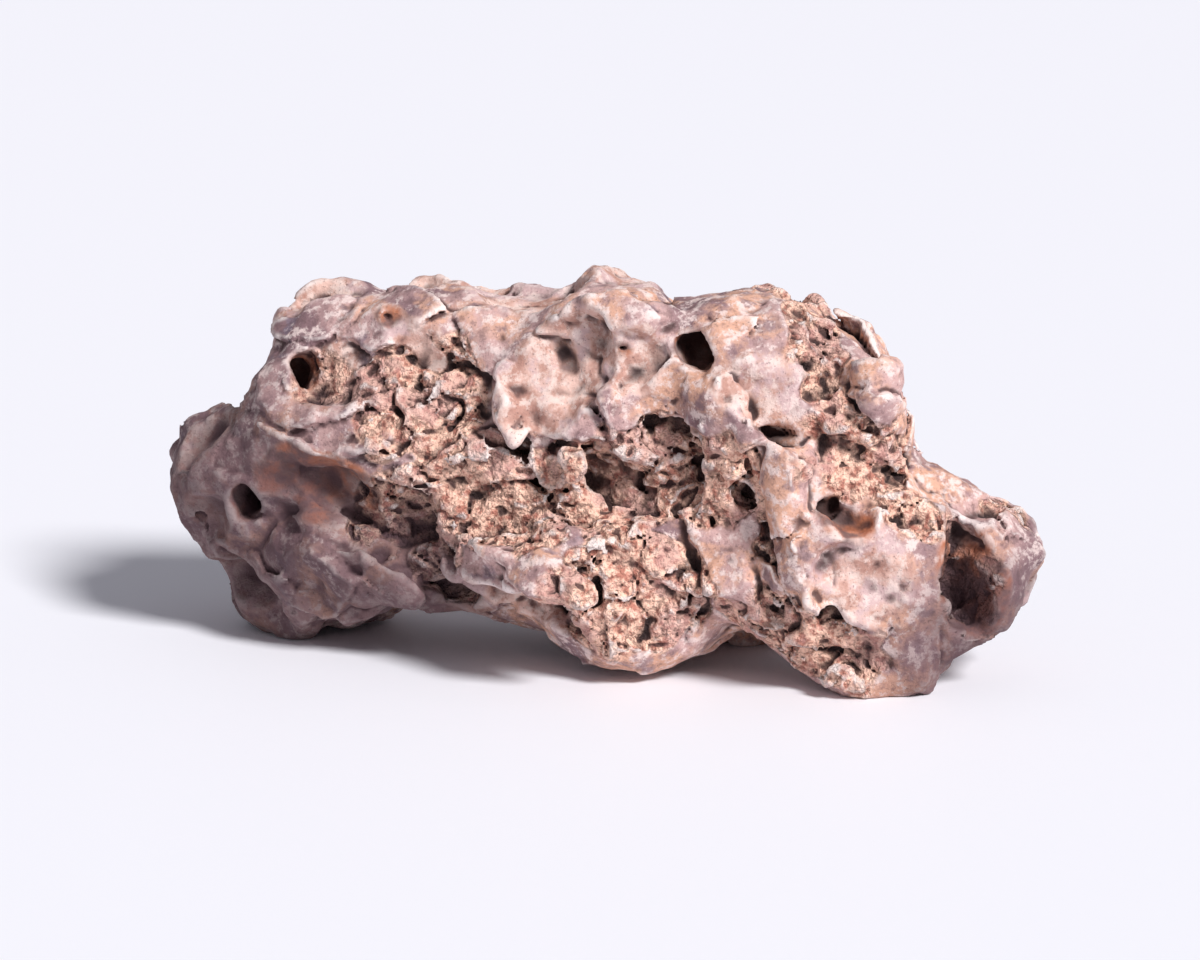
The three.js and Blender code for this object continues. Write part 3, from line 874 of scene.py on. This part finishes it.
# %% [markdown]
# ## Where each tint lies
#
# Two kinds of pattern place the tints. The masks on the mesh say what a place is, and noise says how the
# clay varies there. Each noise has a real size in millimetres. The sand grains are drawn at 0.5 mm,
# which is coarser than real ones of about 0.1 mm, because those wouldn't show.

# %% Patterns of the clay
# Each has: mm across, how many finer layers it has, how strong they are
PATTERNS = {
    "broad": (15, 3, 0.55),  # clouds in the skin, as wide as a fingertip
    "tanned": (9, 4, 0.6),  # where the skin is worn through
    "patchy": (4.5, 3, 0.55),  # blotches
    "streaked": (2.6, 6, 0.7),  # pale dust that lies in the grain of the clay
    "mottled": (1.6, 3, 0.55),  # single crumbs, each its own tint
    "speckled": (0.5, 3, 0.55),  # dark sand
    "gritty": (0.5, 4, 0.65),  # sand that is felt more than seen
}
coordinates = add(tree, "ShaderNodeTexCoord").outputs["Object"]
place = {0: coordinates, 1: (1000, 1000, 1000)}  # in millimetres
place = add(tree, "ShaderNodeVectorMath", place, operation="MULTIPLY").outputs[0]
where = {name: add(tree, "ShaderNodeAttribute", attribute_name=name).outputs["Fac"] for name in layers}
for name, (size, detail, strength) in PATTERNS.items():
    inputs = {"Vector": place, "Scale": 1 / size, "Detail": detail, "Roughness": strength}
    where[name] = add(tree, "ShaderNodeTexNoise", inputs).outputs["Fac"]
# The skin is more often worn through towards the nose
along = add(tree, "ShaderNodeSeparateXYZ", {0: place}).outputs["X"]
more = {"Value": along, "From Min": -50, "From Max": 10, "To Max": 0.06}
more = add(tree, "ShaderNodeMapRange", more, interpolation_type="SMOOTHSTEP").outputs["Result"]
more = {0: where["tanned"], 1: more}
where["worn_through"] = add(tree, "ShaderNodeMath", more, operation="ADD").outputs[0]
print(len(where), "patterns")

# %% [markdown]
# ## Grains too fine to model
#
# The modelled crumbs are rough with others of one or two millimetres, and most of those are left to the
# material. A Voronoi pattern gives the distance to the middle of the nearest grain, which is small on a
# grain and large in the gaps between. Noise shakes it first, or the grains would be as round as peas.
# Two sizes are used, and the wider gap wins.

# %% Fine grains
FINE_GRAINS = [(2.3, 0.56, 0.8), (1.2, 0.52, 0.74)]  # mm across, where the gap starts, where it is full


def grain_distance(size):
    """How far a point is from the middle of its grain, in grain sizes."""
    wobble = {"Vector": place, "Scale": 1.1 / size, "Detail": 3}
    shift = {0: add(tree, "ShaderNodeTexNoise", wobble).outputs["Color"], 1: (0.5, 0.5, 0.5)}
    shift = add(tree, "ShaderNodeVectorMath", shift, operation="SUBTRACT").outputs[0]
    shift = add(tree, "ShaderNodeVectorMath", {0: shift, "Scale": 2.2 * size}, operation="SCALE").outputs[0]
    moved = add(tree, "ShaderNodeVectorMath", {0: place, 1: shift}, operation="ADD").outputs[0]
    return add(tree, "ShaderNodeTexVoronoi", {"Vector": moved, "Scale": 1 / size}).outputs["Distance"]


distances, gaps = [], []
for size, starts, full in FINE_GRAINS:
    distances.append(grain_distance(size))
    inputs = {"Value": distances[-1], "From Min": starts, "From Max": full}
    gaps.append(add(tree, "ShaderNodeMapRange", inputs).outputs["Result"])
where["gap"] = add(tree, "ShaderNodeMath", {0: gaps[0], 1: gaps[1]}, operation="MAXIMUM").outputs[0]
print(len(FINE_GRAINS), "sizes of fine grain")

# %% [markdown]
# ## Tints over tints
#
# A painter would lay thin washes, each only where it belongs, and let the one below show through. The
# function does the same: it follows one or more patterns, each from the value where the wash has not
# begun to the value where it is full, and lays the tint on as strongly as it may be.

# %% Washes
def washed(below, tint, strength, *patterns):
    """The colour below with a tint laid over it where all of its patterns say so."""
    share = strength
    for name, begins, full in patterns:
        inputs = {"Value": where[name], "From Min": begins, "From Max": full}
        rise = add(tree, "ShaderNodeMapRange", inputs, interpolation_type="SMOOTHSTEP").outputs["Result"]
        share = add(tree, "ShaderNodeMath", {0: share, 1: rise}, operation="MULTIPLY").outputs[0]
    below, tint = (linear(c) if isinstance(c, str) else c for c in (below, tint))
    return add(tree, "ShaderNodeMix", {0: share, 6: below, 7: tint}, data_type="RGBA").outputs[2]


skin = washed("#86696D", "#C5A09C", 1, ("broad", 0.4, 0.6))
skin = washed(skin, "#DCA88D", 0.8, ("worn_through", 0.5, 0.62))
skin = washed(skin, "#70677A", 0.65, ("patchy", 0.52, 0.68))
skin = washed(skin, "#E8D2CD", 0.8, ("streaked", 0.49, 0.61))
skin = washed(skin, "#634A4B", 0.5, ("streaked", 0.46, 0.34))
scooped = washed("#E2BCAF", "#B4887B", 1, ("patchy", 0.38, 0.62))
scooped = washed(scooped, "#B59CA4", 0.6, ("tanned", 0.52, 0.42))
scooped = washed(scooped, "#EAD6CE", 0.6, ("streaked", 0.46, 0.6))
crumbly = washed("#BC7C6B", "#FFD0B9", 1, ("mottled", 0.36, 0.56))
crumbly = washed(crumbly, "#CA9D97", 0.6, ("tanned", 0.5, 0.4))
rust = washed("#5A3328", "#B5683F", 1, ("patchy", 0.4, 0.6))
print(len(tree.nodes), "nodes for skin, floors, crumbs and rust")

# %% [markdown]
# ## The states of the clay put together
#
# Floors go over the skin and crumbs over both. Dirt and wear come last, as they do on the stone, and
# painted shade with them: dark gaps between grains, rust in the deepest hollows, lips worn pale and
# lightened further as a painted highlight, then painted shade in crevices and hollows that gets darker
# the more sheltered they are, mud with painted shadow near the table, and dark specks over everything.

# %% Dirt, wear and painted shade
colour = washed(skin, scooped, 1, ("floor", 0.2, 0.8))
colour = washed(colour, crumbly, 1, ("crumb", 0.1, 0.6))
colour = washed(colour, "#4A2C26", 0.65, ("gap", 0, 1), ("patchy", 0.4, 0.56), ("crumb", 0.1, 0.6))
colour = washed(colour, rust, 0.8, ("stain", 0.1, 0.9))
# Lips and edges painted pale: partly worn clay, partly a painted highlight
colour = washed(colour, "#F0E2DE", 0.85, ("fine_shelter", 0.44, 0.3), ("patchy", 0.3, 0.62))
# Painted shade: crevices and hollows are darkened by how sheltered they are
colour = washed(colour, "#43292A", 0.9, ("fine_shelter", 0.52, 0.64))
colour = washed(colour, "#291A1B", 0.92, ("shelter", 0.54, 0.72))
colour = washed(colour, "#563935", 0.45, ("wide_shelter", 0.56, 0.74))
# Brown mud and painted shadow over the left end, the left bulge and under the nose
colour = washed(colour, "#553D43", 0.78, ("mud_and_shade", 0, 0.8))
colour = washed(colour, "#4E3939", 0.5, ("speckled", 0.6, 0.7))
print(len(tree.nodes), "nodes with dirt and wear")

# %% [markdown]
# ## Dull and gritty
#
# Dry clay scatters light in all directions, so its roughness is high and it hardly shines. Its IOR is a
# little under that of its minerals, because it is full of air. The relief too fine for the mesh is bumps
# of three heights: fine grains, crumbs and sand.

# %% Surface of the clay
domes = add(tree, "ShaderNodeMath", {0: distances[0], 1: distances[1]}, operation="ADD").outputs[0]
loose_part = {"Value": where["crumb"], "From Min": 0.1, "From Max": 0.6}
loose_part = add(tree, "ShaderNodeMapRange", loose_part, interpolation_type="SMOOTHSTEP").outputs["Result"]
domes = add(tree, "ShaderNodeMath", {0: domes, 1: loose_part}, operation="MULTIPLY").outputs[0]
# Each has: what raises it, how strongly, how high in mm, and whether it is turned inside out
BUMPS = [(domes, 0.8, 0.9, True), (where["mottled"], 0.5, 0.6, False), (where["gritty"], 0.6, 0.3, False)]
below = {}
for height, strength, tall, turned in BUMPS:
    inputs = {"Height": height, "Strength": strength, "Distance": tall / 1000, **below}
    below = {"Normal": add(tree, "ShaderNodeBump", inputs, invert=turned).outputs[0]}
dull = {"Value": where["mottled"], "From Min": 0.3, "From Max": 0.7, "To Min": 0.76, "To Max": 0.92}
dull = add(tree, "ShaderNodeMapRange", dull).outputs["Result"]
surface = {"Base Color": colour, "Roughness": dull, "IOR": 1.45, **below}
shader = add(tree, "ShaderNodeBsdfPrincipled", surface).outputs[0]
add(tree, "ShaderNodeOutputMaterial", {"Surface": shader})
stone.data.materials.append(clay)
print(len(tree.nodes), "nodes in the clay")

# %% [markdown]
# ## The table
#
# The stone lies on a plain table, as it would to be sold. A plane much larger than the view is enough,
# because its edges never show. It is painted a matt white, which scatters light evenly and shows only
# the stone's shadow and a trace of its colour.

# %% Table
bpy.ops.mesh.primitive_plane_add(size=6)
table = bpy.context.object
table.name = "table"
paint = bpy.data.materials.new("pale_matt_paint")
paint.use_nodes = True
paint.node_tree.nodes["Principled BSDF"].inputs["Base Color"].default_value = linear("#F2F1F7")
paint.node_tree.nodes["Principled BSDF"].inputs["Roughness"].default_value = 0.6
table.data.materials.append(paint)
print("table", round(table.dimensions.x, 1), "metres wide")

# %% [markdown]
# ## The light
#
# A large soft lamp stands at the upper right, so hollows fall into shadow on their right and the left
# end is dark. A sun lamp with a wide angle gives the same soft edge everywhere, and doesn't depend on
# how far it stands. The room round the stone adds an even, faintly blue light, which keeps shadows open.

# %% Lamp and room
LAMP_STRENGTH = 4.1
LAMP_ANGLE = 0.25  # radians, how wide the lamp looks from the stone
LAMP_WAY = Vector((-0.6, 0.75, -0.8))  # the way its light travels
sun = bpy.data.lights.new("key_light", "SUN")
sun.energy, sun.angle = LAMP_STRENGTH, LAMP_ANGLE
key = bpy.data.objects.new("key_light", sun)
key.rotation_mode = "QUATERNION"
key.rotation_quaternion = LAMP_WAY.to_track_quat("-Z", "Y")
bpy.context.scene.collection.objects.link(key)
world = bpy.data.worlds.new("studio")
world.use_nodes = True
world.node_tree.nodes["Background"].inputs["Color"].default_value = linear("#F4F5FF")
world.node_tree.nodes["Background"].inputs["Strength"].default_value = 0.3
bpy.context.scene.world = world
bpy.context.scene.view_settings.view_transform = "Standard"
height = math.degrees(math.asin(-LAMP_WAY.normalized().z))
print("the lamp stands", round(height), "degrees above the table")

# %% [markdown]
# ## The view
#
# The stone is seen from a little above its pitted side, from far enough away that its lines hardly
# converge, as with a long lens. The lens follows from how much of the scene should fit across the
# picture.

# %% Camera
VIEW_WIDTH = 0.220  # metres of the scene across the picture
FROM = 1.15  # metres from the stone
ABOVE = math.radians(13)
AIM_HEIGHT = 0.0318  # how far up the picture its middle lies from the point under the stone
SENSOR = 36  # mm
camera = bpy.data.objects.new("camera", bpy.data.cameras.new("camera"))
back = Vector((0, -math.cos(ABOVE), math.sin(ABOVE)))
up = Vector((0, math.sin(ABOVE), math.cos(ABOVE)))
camera.location = up * AIM_HEIGHT + back * FROM
camera.rotation_mode = "QUATERNION"
camera.rotation_quaternion = (-back).to_track_quat("-Z", "Y")
camera.data.sensor_width = SENSOR
camera.data.lens = SENSOR * FROM / VIEW_WIDTH
camera.data.clip_start = 0.01
bpy.context.scene.collection.objects.link(camera)
bpy.context.scene.camera = camera
print("lens", round(camera.data.lens), "mm")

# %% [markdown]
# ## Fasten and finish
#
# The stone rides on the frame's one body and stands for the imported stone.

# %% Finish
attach(stone, "root")
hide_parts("stone")
